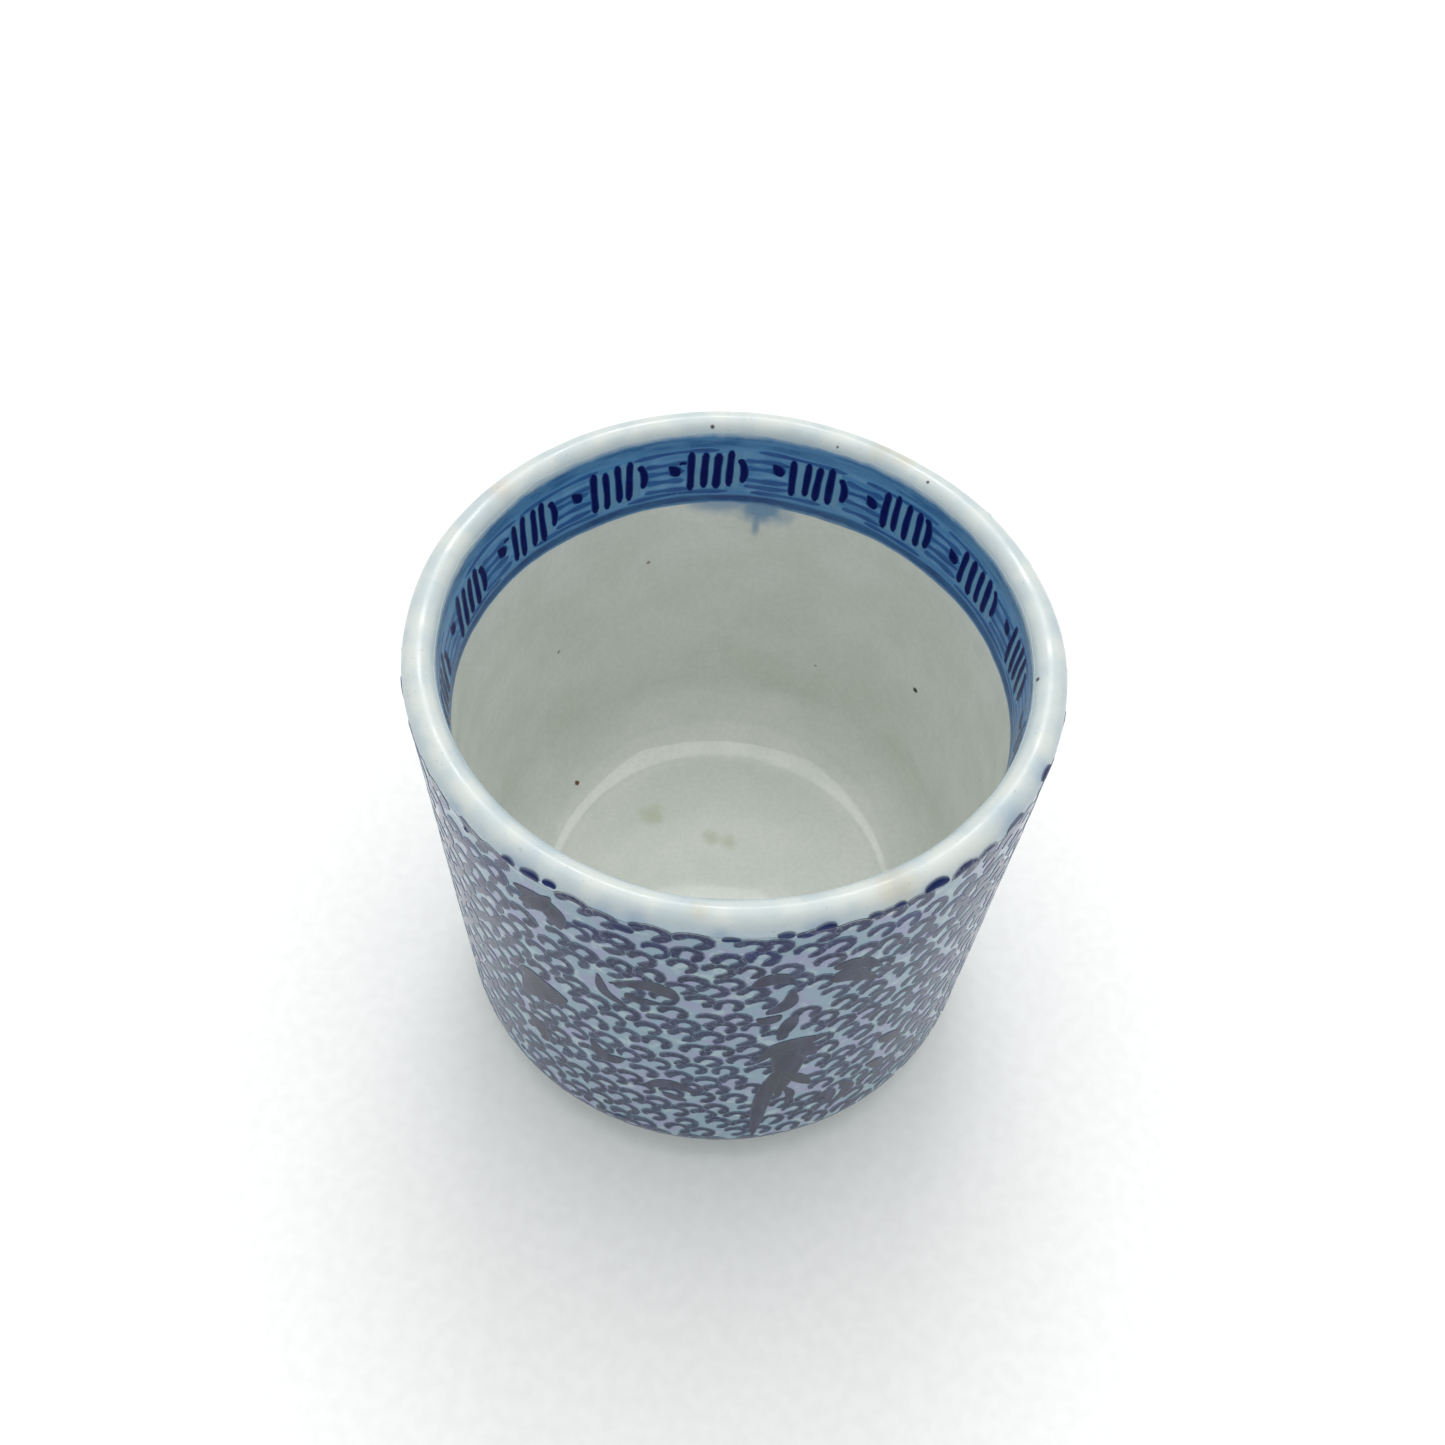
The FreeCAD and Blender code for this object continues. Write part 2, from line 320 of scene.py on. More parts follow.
class Finish:
    """A finish mixed from nodes. Its patterns are measured in mm over the cup."""

    def __init__(self, name, roughness=0.14, gloss=0.3, bends_light=1.5):
        self.material = bpy.data.materials.new(name)
        self.material.use_nodes = True
        self.tree = self.material.node_tree
        self.shader = self.tree.nodes["Principled BSDF"]
        self.shader.inputs["Roughness"].default_value = roughness
        self.shader.inputs["IOR"].default_value = bends_light
        self.shader.inputs["Specular IOR Level"].default_value = gloss
        spot = self.tree.nodes.new("ShaderNodeTexCoord")
        self.place = self.vector_math("SCALE", spot.outputs["Object"], scale=1 / MM)

    def node(self, kind, output, settings=(), **inputs):
        made = self.tree.nodes.new(kind)
        for name, value in dict(settings).items():
            setattr(made, name, value)
        for name, value in inputs.items():
            socket = made.inputs[int(name[1:])] if name[0] == "_" else made.inputs[name]
            self.feed(socket, value)
        return made.outputs[output]

    def feed(self, socket, value):
        if isinstance(value, bpy.types.NodeSocket):
            self.tree.links.new(value, socket)
        else:
            socket.default_value = value

    def vector_math(self, operation, first, second=(0, 0, 0), scale=1.0):
        made = self.tree.nodes.new("ShaderNodeVectorMath")
        made.operation = operation
        self.feed(made.inputs[0], first)
        self.feed(made.inputs[1], second)
        if operation == "SCALE":
            self.feed(made.inputs["Scale"], scale)
        return made.outputs["Value" if operation == "DISTANCE" else "Vector"]

    def maths(self, operation, first, second=0.0):
        return self.node("ShaderNodeMath", 0, {"operation": operation}, _0=first, _1=second)

    def plus(self, first, second):
        return self.maths("ADD", first, second)

    def times(self, first, second):
        return self.maths("MULTIPLY", first, second)

    def ramp(self, value, low, high, start=0.0, end=1.0):
        """Follows value smoothly, from start at low to end at high."""
        made = self.tree.nodes.new("ShaderNodeMapRange")
        made.interpolation_type = "SMOOTHSTEP"
        for socket, given in zip(made.inputs, (value, low, high, start, end)):
            self.feed(socket, given)
        return made.outputs[0]

    def mottle(self, size, detail=2.0, stretch=None, shift=0.0):
        """Cloudy variation, about 0.3 to 0.7, with patches of this size."""
        place = self.vector_math("MULTIPLY", self.place, stretch) if stretch else self.place
        place = self.vector_math("ADD", place, (shift, shift, shift))
        return self.node("ShaderNodeTexNoise", 0, Vector=place, Scale=1 / size, Detail=detail)

    def uneven(self, value, size, reach, shift, detail=2.0):
        """The value, made to wander by patches of this size."""
        return self.plus(value, self.times(self.mottle(size, detail=detail, shift=shift), reach))

    def blend(self, amount, first, second):
        """The first colour at 0, the second at 1."""
        made = self.tree.nodes.new("ShaderNodeMix")
        made.data_type = "RGBA"
        self.feed(made.inputs["Factor"], amount)
        self.feed(made.inputs[FIRST_COLOUR], first)
        self.feed(made.inputs[SECOND_COLOUR], second)
        return made.outputs[MIXED_COLOUR]

    def attribute(self, name):
        return self.node("ShaderNodeAttribute", "Fac", {"attribute_name": name})

    def axis(self, letter):
        return self.node("ShaderNodeSeparateXYZ", letter, Vector=self.place)

    def level(self):
        return self.axis("Z")

    def apart_from(self, *offsets):
        """How far a place lies from where all these offsets are 0."""
        squares = [self.times(offset, offset) for offset in offsets]
        return self.maths("SQRT", self.plus(*squares))

    def spot(self, centre, radius, softness=0.5, wander=0.0):
        """1 inside a small round mark, falling to 0 at its edge, which may wander."""
        apart = self.vector_math("DISTANCE", self.place, centre)
        if wander:
            apart = self.uneven(apart, radius * 0.8, wander, 0.0)
            apart = self.maths("SUBTRACT", apart, wander * 0.5)
        return self.ramp(apart, radius * (1 - softness), radius * (1 + softness), 1.0, 0.0)

    def skin(self, amount=0.012, size=2.4):
        """The faint unevenness of fired glaze."""
        self.roughen(self.mottle(size, detail=3.0, shift=40.0), amount)

    def roughen(self, height, amount):
        """Raises the surface by up to this many mm where height is 1."""
        bump = self.node("ShaderNodeBump", 0, Strength=1.0, Distance=amount * MM, Height=height)
        self.feed(self.shader.inputs["Normal"], bump)

    def done(self, colour, roughness=None):
        self.feed(self.shader.inputs["Base Color"], colour)
        if roughness is not None:
            self.feed(self.shader.inputs["Roughness"], roughness)
        return self.material


def place_round(wall, turn, along):
    """A place this far round the cup and this far down one of its walls."""
    radius, level = wall.at(along)
    return (radius * math.cos(turn), radius * math.sin(turn), level)


def outside_place(around, along):
    """A place on the outside, so many mm round from the front."""
    return place_round(outside, FRONT + around / OUTSIDE_GIRTH, along)


def inside_place(around, along):
    """A place on the inside, so many mm round from the far side."""
    return place_round(inside, BACK - around / INSIDE_GIRTH, along)


def lip_place(degrees, along):
    """A place on the lip, so many degrees round from the right."""
    return place_round(inside, math.radians(degrees), along)


# The bluish blushes on the lip: how far round from the front, how far down the outside, and size.
LIP_BLUSHES = (
    (-21.0, 0.1, 1.9), (-8.0, 0.1, 1.4), (-11.5, 0.4, 1.2), (0.5, 0.4, 1.0), (10.4, 0.1, 1.5),
    (22.5, -0.3, 1.0), (34.4, -0.5, 1.8), (41.5, -0.8, 1.3), (-31.0, 0.2, 1.2), (62.0, 0.1, 1.6),
    (88.0, 0.2, 1.3), (121.0, 0.1, 1.6), (152.0, 0.0, 1.7), (175.0, 0.2, 1.2),
)

# The brown stains on the lip's crest: degrees round, size and colour.
STAIN = linear(186, 170, 136)
STAINS_OVER_LIP = -3.2
LIP_STAINS = (
    (62, 1.7, STAIN),
    (57, 1.2, STAIN),
    (146, 1.4, linear(190, 172, 150)),
    (-60, 2.0, STAIN),
    (-93, 1.0, linear(196, 186, 156)),
)

# The dark specks on the lip: degrees round, how far down the inside, and size.
LIP_SPECKS = ((98, -1.4, 0.26), (-5, -1.3, 0.26), (71, -1.0, 0.18), (50, -1.8, 0.2))

# The specks in the inside glaze: how far round from the far side, how far down, size and colour.
INSIDE_SPECKS = (
    (30.6, 32.0, 0.42, linear(22, 20, 24)),
    (-32.3, 56.0, 0.36, linear(120, 84, 56)),
    (-13.4, 21.0, 0.3, linear(158, 150, 140)),
    (-28.8, 30.8, 0.28, linear(150, 146, 138)),
    (13.0, 40.0, 0.22, linear(160, 152, 140)),
)

# The blue smear under the border: how far to the right, how far down, its width, height and strength.
SMEAR_PATCHES = ((-3.2, 11.4, 5.0, 2.6, 0.7), (2.4, 11.9, 4.4, 3.6, 0.9), (1.6, 15.2, 0.9, 2.2, 0.7))

# The greenish stains on the floor: degrees round, how far from the middle, and size.
FLOOR_STAINS = ((131, 16.1, 1.6), (100.5, 9.1, 1.2), (83, 8.4, 1.1))

# The border's blue, where its wash, lines and gaps meet.
BORDER_BLUE = linear(82, 139, 188)


def outside_ground(finish):
    """The outside glaze's colour: whitish over the lip, then pale blue where thin cobalt washes the wall,
    with lavender clouds, and a greenish pool of glaze at the foot."""
    level = finish.level()
    white = finish.blend(finish.mottle(5.0, shift=7.0), linear(178, 192, 198), linear(194, 203, 203))
    washed = finish.ramp(finish.uneven(level, 4.0, 3.0, 3.0), RIM_LEVEL + 1.3, RIM_LEVEL + 0.1)
    lavender = finish.ramp(finish.mottle(3.4, detail=3.0), 0.42, 0.62)
    wash = finish.blend(lavender, linear(132, 159, 174), linear(142, 149, 178))
    pale = finish.ramp(finish.mottle(2.2, detail=2.0, shift=21.0), 0.52, 0.68)
    wash = finish.blend(pale, wash, linear(158, 180, 188))
    ground = finish.blend(washed, white, wash)
    pool = finish.ramp(level, UNDERSIDE + 5.0, UNDERSIDE + 1.5)
    return finish.blend(pool, ground, linear(166, 184, 184))


def inside_ground(finish):
    """The inside glaze's colour: a grey green white with faint clouds."""
    clouds = finish.ramp(finish.mottle(9.0, detail=3.0, shift=11.0), 0.35, 0.65)
    ground = finish.blend(clouds, linear(217, 221, 212), linear(225, 227, 220))
    grain = finish.ramp(finish.mottle(0.7, detail=2.0, shift=2.0), 0.3, 0.7)
    return finish.blend(grain, ground, finish.blend(clouds, linear(211, 216, 207), linear(219, 222, 215)))


def outer_glaze_finish():
    finish = Finish("glaze_over_wash")
    finish.skin()
    return finish.done(outside_ground(finish), finish.ramp(finish.mottle(6.0), 0.3, 0.7, 0.10, 0.17))


def wave_ink_finish():
    """Cobalt of the hooked strokes: navy under the lip, duller below it, and paler towards the cup's left
    and right sides, where a painted sheen stands in for the reflection that washes them out.
    """
    finish = Finish("cobalt_wave_strokes", bends_light=1.27)
    tone = finish.attribute("tone")
    navy = finish.ramp(finish.uneven(finish.level(), 8.0, 8.0, 5.0), RIM_LEVEL - 5.0, RIM_LEVEL + 1.5)
    dull = finish.blend(finish.mottle(6.0, shift=9.0), linear(54, 62, 94), linear(46, 60, 84))
    ink = finish.blend(navy, dull, linear(18, 38, 100))
    ink = finish.blend(finish.ramp(tone, 0.0, 1.0, 0.0, 0.6), ink, linear(34, 40, 66))
    pooled = finish.ramp(finish.mottle(0.9, shift=13.0), 0.45, 0.75, 0.0, 0.4)
    ink = finish.blend(pooled, ink, linear(30, 36, 66))
    # Painted sheen: the ink is blended paler towards the left and right sides, in place of the reflection
    # seen there at a slant.
    painted_side_sheen = finish.ramp(finish.maths("ABSOLUTE", finish.axis("X")), 20.0, 36.0, 0.0, 0.42)
    ink = finish.blend(painted_side_sheen, ink, linear(104, 112, 146))
    cover = finish.ramp(finish.attribute("ink"), 0.0, 0.34, 0.5, 1.0)
    cover = finish.times(cover, finish.ramp(finish.mottle(0.6, shift=17.0), 0.25, 0.55, 0.8, 1.0))
    finish.skin()
    return finish.done(finish.blend(cover, outside_ground(finish), ink))


def leaf_ink_finish():
    """Broad marks laid with a full brush: a warm grey blue with lengthwise streaks."""
    finish = Finish("cobalt_leaf_marks", bends_light=1.27)
    streaks = finish.mottle(1.6, detail=4.0, stretch=(1, 1, 0.35), shift=6.0)
    ink = finish.blend(finish.ramp(streaks, 0.35, 0.65), linear(54, 58, 76), linear(70, 74, 96))
    green = finish.ramp(finish.mottle(7.0, shift=31.0), 0.5, 0.65, 0.0, 0.6)
    ink = finish.blend(green, ink, linear(62, 68, 74))
    cover = finish.ramp(finish.attribute("ink"), 0.0, 0.25, 0.88, 1.0)
    finish.skin()
    return finish.done(finish.blend(cover, outside_ground(finish), ink))


def blot_ink_finish():
    """Thick blots of cobalt along the top of the painting, nearly black in the middle."""
    finish = Finish("cobalt_edge_blots", bends_light=1.2)
    ink = finish.blend(finish.mottle(2.0, shift=4.0), linear(22, 44, 100), linear(12, 24, 70))
    cover = finish.ramp(finish.attribute("ink"), 0.0, 0.5, 0.75, 1.0)
    finish.skin()
    return finish.done(finish.blend(cover, outside_ground(finish), ink))


def lip_glaze_finish():
    """Thick whitish glaze on the lip, bluish where it runs thin at both edges, with a few brown stains."""
    finish = Finish("whitish_lip_glaze", gloss=0.35)
    crest = finish.ramp(finish.level(), RIM_LEVEL - 0.4, RIM_LEVEL + LIP_RADIUS)
    cloud = finish.mottle(5.0, detail=4.0, shift=15.0)
    white = finish.blend(finish.ramp(cloud, 0.35, 0.65), linear(183, 194, 195), linear(200, 206, 201))
    bluish = linear(172, 190, 200)
    colour = finish.blend(crest, bluish, white)
    for degrees, size, tint in LIP_STAINS:
        mark = finish.spot(lip_place(degrees, STAINS_OVER_LIP), size, softness=0.8, wander=size)
        colour = finish.blend(finish.times(mark, 0.35), colour, tint)
    for around, along, size in LIP_BLUSHES:
        mark = finish.spot(outside_place(around, along), size, softness=0.95, wander=size * 0.8)
        colour = finish.blend(finish.times(mark, 0.4), colour, linear(96, 132, 172))
    for degrees, along, size in LIP_SPECKS:
        colour = finish.blend(finish.spot(lip_place(degrees, along), size), colour, linear(70, 68, 66))
    pits = finish.ramp(finish.mottle(0.45, detail=1.0, shift=33.0), 0.70, 0.76, 0.0, 0.35)
    colour = finish.blend(pits, colour, linear(150, 156, 150))
    finish.skin(0.03, 2.5)
    return finish.done(colour, finish.ramp(finish.mottle(4.0), 0.3, 0.7, 0.2, 0.36))


def inner_glaze_finish():
    """Grey green glaze inside, with iron specks, stains on the floor and a blue smear under the border."""
    finish = Finish("grey_green_inside_glaze", roughness=0.12, gloss=0.5)
    colour = inside_ground(finish)
    far_side = finish.ramp(finish.axis("Y"), 20.0, 26.0)
    for right, down, wide, tall, amount in SMEAR_PATCHES:
        x = finish.maths("DIVIDE", finish.maths("SUBTRACT", finish.axis("X"), right), wide)
        z = finish.maths("DIVIDE", finish.maths("SUBTRACT", finish.level(), RIM_LEVEL - down), tall)
        ragged = finish.uneven(finish.apart_from(x, z), 2.5, 0.9, 8.0, detail=4.0)
        smear = finish.times(finish.ramp(ragged, 0.75, 1.55, amount, 0.0), far_side)
        colour = finish.blend(smear, colour, linear(96, 140, 178))
    for around, along, size, tint in INSIDE_SPECKS:
        colour = finish.blend(finish.spot(inside_place(around, along), size, 0.3, size), colour, tint)
    for degrees, radius, size in FLOOR_STAINS:
        turn = math.radians(degrees)
        middle = (radius * math.cos(turn), radius * math.sin(turn), FLOOR_LEVEL)
        mark = finish.times(finish.spot(middle, size, 0.7, size), 0.55)
        colour = finish.blend(mark, colour, linear(188, 192, 166))
    finish.skin(0.012, 3.0)
    return finish.done(colour, finish.ramp(finish.mottle(7.0), 0.3, 0.7, 0.05, 0.08))


def border_wash_finish():
    """Thin blue wash of the border, brushed round on the wheel, so its streaks run level."""
    finish = Finish("border_wash_glaze")
    streaks = finish.mottle(1.1, detail=3.0, stretch=(0.10, 0.10, 1.0), shift=3.0)
    clouds = finish.mottle(3.0, detail=3.0, shift=19.0)
    wash = finish.blend(finish.ramp(streaks, 0.35, 0.65), linear(66, 128, 180), linear(98, 150, 194))
    wash = finish.blend(finish.ramp(clouds, 0.45, 0.7, 0.0, 0.5), wash, linear(112, 162, 200))
    level = finish.uneven(finish.level(), 2.6, 0.9, 23.0)
    top = finish.ramp(level, RIM_LEVEL + 1.7, RIM_LEVEL + 0.4)
    foot = finish.ramp(level, RIM_LEVEL - BORDER_FOOT, RIM_LEVEL - BORDER_FOOT + 0.7)
    finish.skin()
    return finish.done(finish.blend(finish.times(top, foot), inside_ground(finish), wash))


def border_line_finish(name, dark, light, fading=None, beyond=None):
    """A line of cobalt with streaks that run along it. Fading gives how far down one of its edges is gone
    and how far down it is full, and beyond is the colour that it melts into."""
    finish = Finish(name)
    streaks = finish.mottle(0.8, detail=3.0, stretch=(0.15, 0.15, 1.0), shift=12.0)
    pools = finish.mottle(6.0, detail=3.0, shift=14.0)
    ink = finish.blend(finish.ramp(streaks, 0.35, 0.65), dark, light)
    ink = finish.blend(finish.ramp(pools, 0.42, 0.62, 0.0, 0.55), ink, light)
    speckle = finish.ramp(finish.mottle(0.35, shift=16.0), 0.55, 0.75, 0.0, 0.4)
    ink = finish.blend(speckle, ink, linear(24, 74, 136))
    cover = finish.ramp(finish.attribute("ink"), 0.0, 0.6)
    colour = finish.blend(cover, BORDER_BLUE, ink)
    if fading:
        gone, full = (RIM_LEVEL + 0.4 - down for down in fading)
        level = finish.uneven(finish.level(), 2.0, 0.8, 25.0)
        colour = finish.blend(finish.ramp(level, gone, full), beyond, colour)
    finish.skin()
    return finish.done(colour)


def border_gap_finish():
    """The paler glaze that shows between the upright strokes."""
    finish = Finish("border_gap_glaze")
    pale = finish.blend(finish.mottle(1.5, detail=3.0), linear(86, 138, 176), linear(108, 154, 186))
    cover = finish.ramp(finish.attribute("ink"), 0.0, 0.5)
    finish.skin()
    return finish.done(finish.blend(cover, BORDER_BLUE, pale))


def border_stroke_finish():
    """Nearly black cobalt where the brush was fully loaded."""
    finish = Finish("cobalt_border_strokes", bends_light=1.15)
    ink = finish.blend(finish.mottle(1.2, detail=3.0), linear(8, 22, 96), linear(2, 8, 66))
    cover = finish.ramp(finish.attribute("ink"), 0.0, 0.4, 0.2, 1.0)
    finish.skin()
    return finish.done(finish.blend(cover, linear(50, 100, 160), ink))


def base_glaze_finish():
    """Plain whitish glaze in the foot's hollow."""
    finish = Finish("base_glaze_white")
    clouds = finish.ramp(finish.mottle(6.0, detail=3.0), 0.35, 0.65)
    colour = finish.blend(clouds, linear(206, 214, 210), linear(222, 227, 222))
    finish.skin()
    return finish.done(colour)


def bare_clay_finish(name, light, dark):
    """Fired clay with no glaze: matt, with turning marks and fine grit."""
    finish = Finish(name, roughness=0.75)
    clouds = finish.ramp(finish.mottle(4.0, detail=4.0), 0.35, 0.65)
    grit = finish.ramp(finish.mottle(0.35, detail=2.0, shift=5.0), 0.62, 0.72, 0.0, 0.7)
    colour = finish.blend(clouds, dark, light)
    colour = finish.blend(grit, colour, linear(120, 98, 74))
    rings = finish.maths("SINE", finish.times(finish.apart_from(finish.axis("X"), finish.axis("Y")), 22.0))
    finish.roughen(finish.plus(finish.times(rings, 0.3), finish.mottle(0.3, detail=3.0)), 0.04)
    return finish.done(colour)


# ---------------------------------------------------------------- the clay and the coats of glaze


def make_thrown_body():
    """The clay wall, floor and rounded corner, under the glaze."""
    depth = GLAZE_THICKNESS - 0.05
    down_outside = spread(LIP_TOP, FOOT_ALONG, 90)
    down_inside = spread(LIP_TOP, MIDDLE_ALONG, 90)[1:]
    outline = [inside.at(along, -depth) for along in reversed(down_inside)]
    outline[0] = (0.0, outline[0][1])
    outline += [outside.at(along, -depth) for along in down_outside]
    outline += [(BEHIND_WELL, UNDERSIDE + depth), (BEHIND_WELL, WELL_LEVEL + depth)]
    outline += [(0.0, WELL_LEVEL + depth)]
    bm = turn_on_wheel(outline, 200)
    throw_by_hand(bm)
    finish = bare_clay_finish("biscuit_porcelain", linear(214, 208, 196), linear(200, 192, 178))
    return finish_piece(bm, "thrown_clay_body", finish, ["porcelain_body"])


def make_foot():
    """The turned foot ring, wiped bare of glaze, with softened edges and a chamfer inside and out."""
    top = UNDERSIDE + 0.8
    inner_top, inner_foot = WELL_RADIUS - 0.15, WELL_RADIUS + 0.6
    outer_chamfer, inner_chamfer = 0.7, 0.5
    outline = [
        (FOOT_RADIUS - 0.05, top),
        (FOOT_RADIUS - 0.02, UNDERSIDE - 0.1),
        (FOOT_RADIUS - 0.25, outer_chamfer),
        (FOOT_RADIUS - 1.0, 0.0),
        (inner_foot + inner_chamfer, 0.0),
        (inner_foot, inner_chamfer),
        (inner_top, top + 0.6),
    ]
    bm = turn_on_wheel(outline, 256)
    corners = [edge for edge in bm.edges if edge.calc_face_angle(0.0) > math.radians(12)]
    bmesh.ops.bevel(
        bm, geom=corners, offset=0.18, offset_type="OFFSET", affect="EDGES",
        segments=3, profile=0.5, material=-1,
    )
    for vert in bm.verts:
        chip = noise.noise(vert.co * 0.8) * 0.05
        low = smooth_step(0.9, 0.2, vert.co.z) if vert.co.z > 0.2 else 0.0
        vert.co.z += chip * low
    finish = bare_clay_finish("bare_turned_foot", linear(206, 192, 166), linear(184, 164, 134))
    return finish_piece(bm, "turned_foot_ring", finish, ["foot_ring"], math.radians(40))


def make_outer_glaze():
    """The clear glaze down the outside wall and round the corner, ending in a rolled edge at the foot."""
    starts = LIP_GLAZE_DEPTH - 0.1
    bead = 0.35
    outline = [outside.at(along) for along in spread(starts, outside.straight, 100)]
    outline += [outside.at(along) for along in spread(outside.straight, FOOT_ALONG - 1.0, 30)[1:]]
    rolled = [FOOT_ALONG - 0.7, FOOT_ALONG - 0.4, FOOT_ALONG - 0.1]
    outline += [outside.at(along, bead * lift) for along, lift in zip(rolled, (0.5, 0.85, 0.6))]
    outline += [(FOOT_RADIUS - 0.02, UNDERSIDE + 0.05)]
    outline += [outside.at(along, -COAT_DEPTH) for along in spread(FOOT_ALONG - 0.5, starts, 50)]
    bm = turn_on_wheel(outline)
    throw_by_hand(bm)
    return finish_piece(bm, "outside_glaze_coat", outer_glaze_finish(), ["outer_glaze"])


def make_lip_glaze():
    """The thick roll of whitish glaze over the lip. It swells a little over its neighbours and thins to
    nothing at both edges."""

    def swell(along):
        return ROLL_SWELL - 2 * ROLL_SWELL * smooth_step(-0.4, LIP_GLAZE_DEPTH, along)

    over_lip = [(along, outside) for along in spread(LIP_GLAZE_DEPTH, LIP_TOP, 22)]
    over_lip += [(along, inside) for along in spread(LIP_TOP, LIP_GLAZE_DEPTH, 22)[1:]]
    outline = [wall.at(along, swell(along)) for along, wall in over_lip]
    outline += [wall.at(along, -COAT_DEPTH) for along, wall in reversed(over_lip)]
    bm = turn_on_wheel(outline)
    throw_by_hand(bm)
    return finish_piece(bm, "lip_glaze_roll", lip_glaze_finish(), ["lip_glaze"])


def make_inner_glaze():
    """The glaze inside, from the lip down the wall, round the bend and over the floor to the middle."""
    starts = LIP_GLAZE_DEPTH - 0.1
    outline = [inside.at(along) for along in spread(starts, MIDDLE_ALONG, 150)]
    outline[-1] = (0.0, FLOOR_LEVEL)
    back = [inside.at(along, -COAT_DEPTH) for along in spread(MIDDLE_ALONG, starts, 50)]
    back[0] = (0.0, FLOOR_LEVEL - COAT_DEPTH)
    bm = turn_on_wheel(outline + back)
    throw_by_hand(bm)
    return finish_piece(bm, "inside_glaze_coat", inner_glaze_finish(), ["inner_glaze"])


def make_base_glaze():
    """The glaze in the hollow of the foot, drawn up round its edge."""
    climb = 1.6
    bend = WELL_RADIUS - climb
    outline = [(0.0, WELL_LEVEL)]
    outline += [(radius, WELL_LEVEL) for radius in spread(1.5, bend, 24)]
    outline += [
        (bend + (climb - 0.05) * math.sin(turn), WELL_LEVEL - climb + climb * math.cos(turn))
        for turn in spread(0.0, math.pi / 2, 9)[1:]
    ]
    outline += [(BEHIND_WELL, outline[-1][1] - 0.1), (BEHIND_WELL, WELL_LEVEL + COAT_DEPTH)]
    outline += [(0.0, WELL_LEVEL + COAT_DEPTH)]
    bm = turn_on_wheel(outline, 200)
    return finish_piece(bm, "hollow_glaze_pool", base_glaze_finish(), ["base_glaze"])


# ---------------------------------------------------------------- the painting outside


def leaf(*places, width, fullest=0.5):
    """A broad mark: its places (round, down), its width and where it is fullest."""
    return {"path": curve_through(*places), "width": leaf_shaped(width, fullest)}


def leaf_group():
    """One spray of leaf and plume marks, as it stands on the front of the cup."""
    return [
        leaf((-22.5, 4.6), (-18.0, 5.4), (-16.8, 9.0), width=3.4),
        leaf((-22.0, 7.4), (-19.5, 5.8), (-17.6, 2.6), width=2.4),
        leaf((-11.4, 17.2), (-6.5, 14.9), (-3.4, 17.0), width=2.7, fullest=0.6),
        leaf((-9.6, 18.6), (-8.0, 19.2), (-5.2, 18.9), width=1.8, fullest=0.35),
        leaf((-12.8, 16.0), (-12.0, 20.0), (-9.4, 22.0), width=1.5),
        leaf((-24.6, 34.2), (-21.5, 29.5), (-17.3, 27.6), width=5.6, fullest=0.6),
        leaf((-24.8, 28.4), (-22.4, 26.6), (-19.6, 27.0), width=2.2),
        leaf((4.2, 12.6), (6.6, 10.9), (8.8, 12.0), width=2.6),
        leaf((6.2, 20.0), (8.6, 17.6), (8.6, 14.0), width=2.0, fullest=0.4),
        leaf((5.2, 21.2), (6.6, 21.8), (8.0, 20.6), width=2.2),
        leaf((8.0, 27.2), (9.0, 24.0), (9.6, 20.8), width=2.0),
        leaf((12.9, 10.6), (15.8, 11.0), (19.0, 14.2), width=2.3, fullest=0.4),
        leaf((13.0, 13.6), (15.2, 13.6), (19.0, 17.4), width=3.0, fullest=0.35),
        leaf((6.0, 34.0), (8.6, 30.0), (14.2, 29.2), width=2.9, fullest=0.6),
        leaf((9.2, 28.6), (9.9, 35.0), (9.2, 46.0), width=4.6, fullest=0.34),
        leaf((11.8, 29.6), (12.0, 32.5), (13.2, 34.2), width=2.4),
        leaf((9.0, 36.0), (7.4, 46.0), (6.8, 59.5), width=2.4, fullest=0.45),
        leaf((9.6, 38.5), (12.0, 41.5), (13.4, 44.0), width=2.0, fullest=0.4),
        leaf((9.8, 43.0), (11.0, 46.0), (10.6, 49.2), width=1.3),
        leaf((-7.6, 44.4), (-4.4, 42.0), (-0.4, 44.4), width=2.2, fullest=0.45),
        leaf((-5.4, 45.2), (-4.0, 46.2), (-2.2, 47.0), width=1.6),
        leaf((-14.6, 36.0), (-12.6, 39.4), (-10.0, 37.8), width=2.4),
        leaf((-24.6, 40.4), (-22.6, 42.4), (-22.2, 45.2), width=3.2),
        leaf((14.6, 50.6), (16.4, 50.0), (17.0, 53.6), width=2.6),
        leaf((17.9, 47.2), (19.6, 51.0), (17.4, 55.0), width=2.0),
        leaf((22.6, 38.0), (24.0, 39.5), (26.4, 40.6), width=2.4),
        leaf((21.6, 45.6), (23.4, 47.0), (24.8, 50.0), width=2.2),
    ]


AROUND_CUP = 2 * math.pi * OUTSIDE_GIRTH


def from_front(x):
    """How far round from the front a place on the flat painting lies, the shorter way."""
    return (x + AROUND_CUP / 2) % AROUND_CUP - AROUND_CUP / 2


def all_leaves():
    """The spray on the front, and two freely varied ones that fill the sides and back."""
    rng = random.Random(8)
    leaves = [(mark, 0.0, 1.0) for mark in leaf_group()]
    for share in (1 / 3, 2 / 3):
        for mark in leaf_group():
            drift = AROUND_CUP * share + rng.uniform(-1.4, 1.4)
            leaves.append((mark, drift, rng.uniform(0.85, 1.15)))
    return leaves


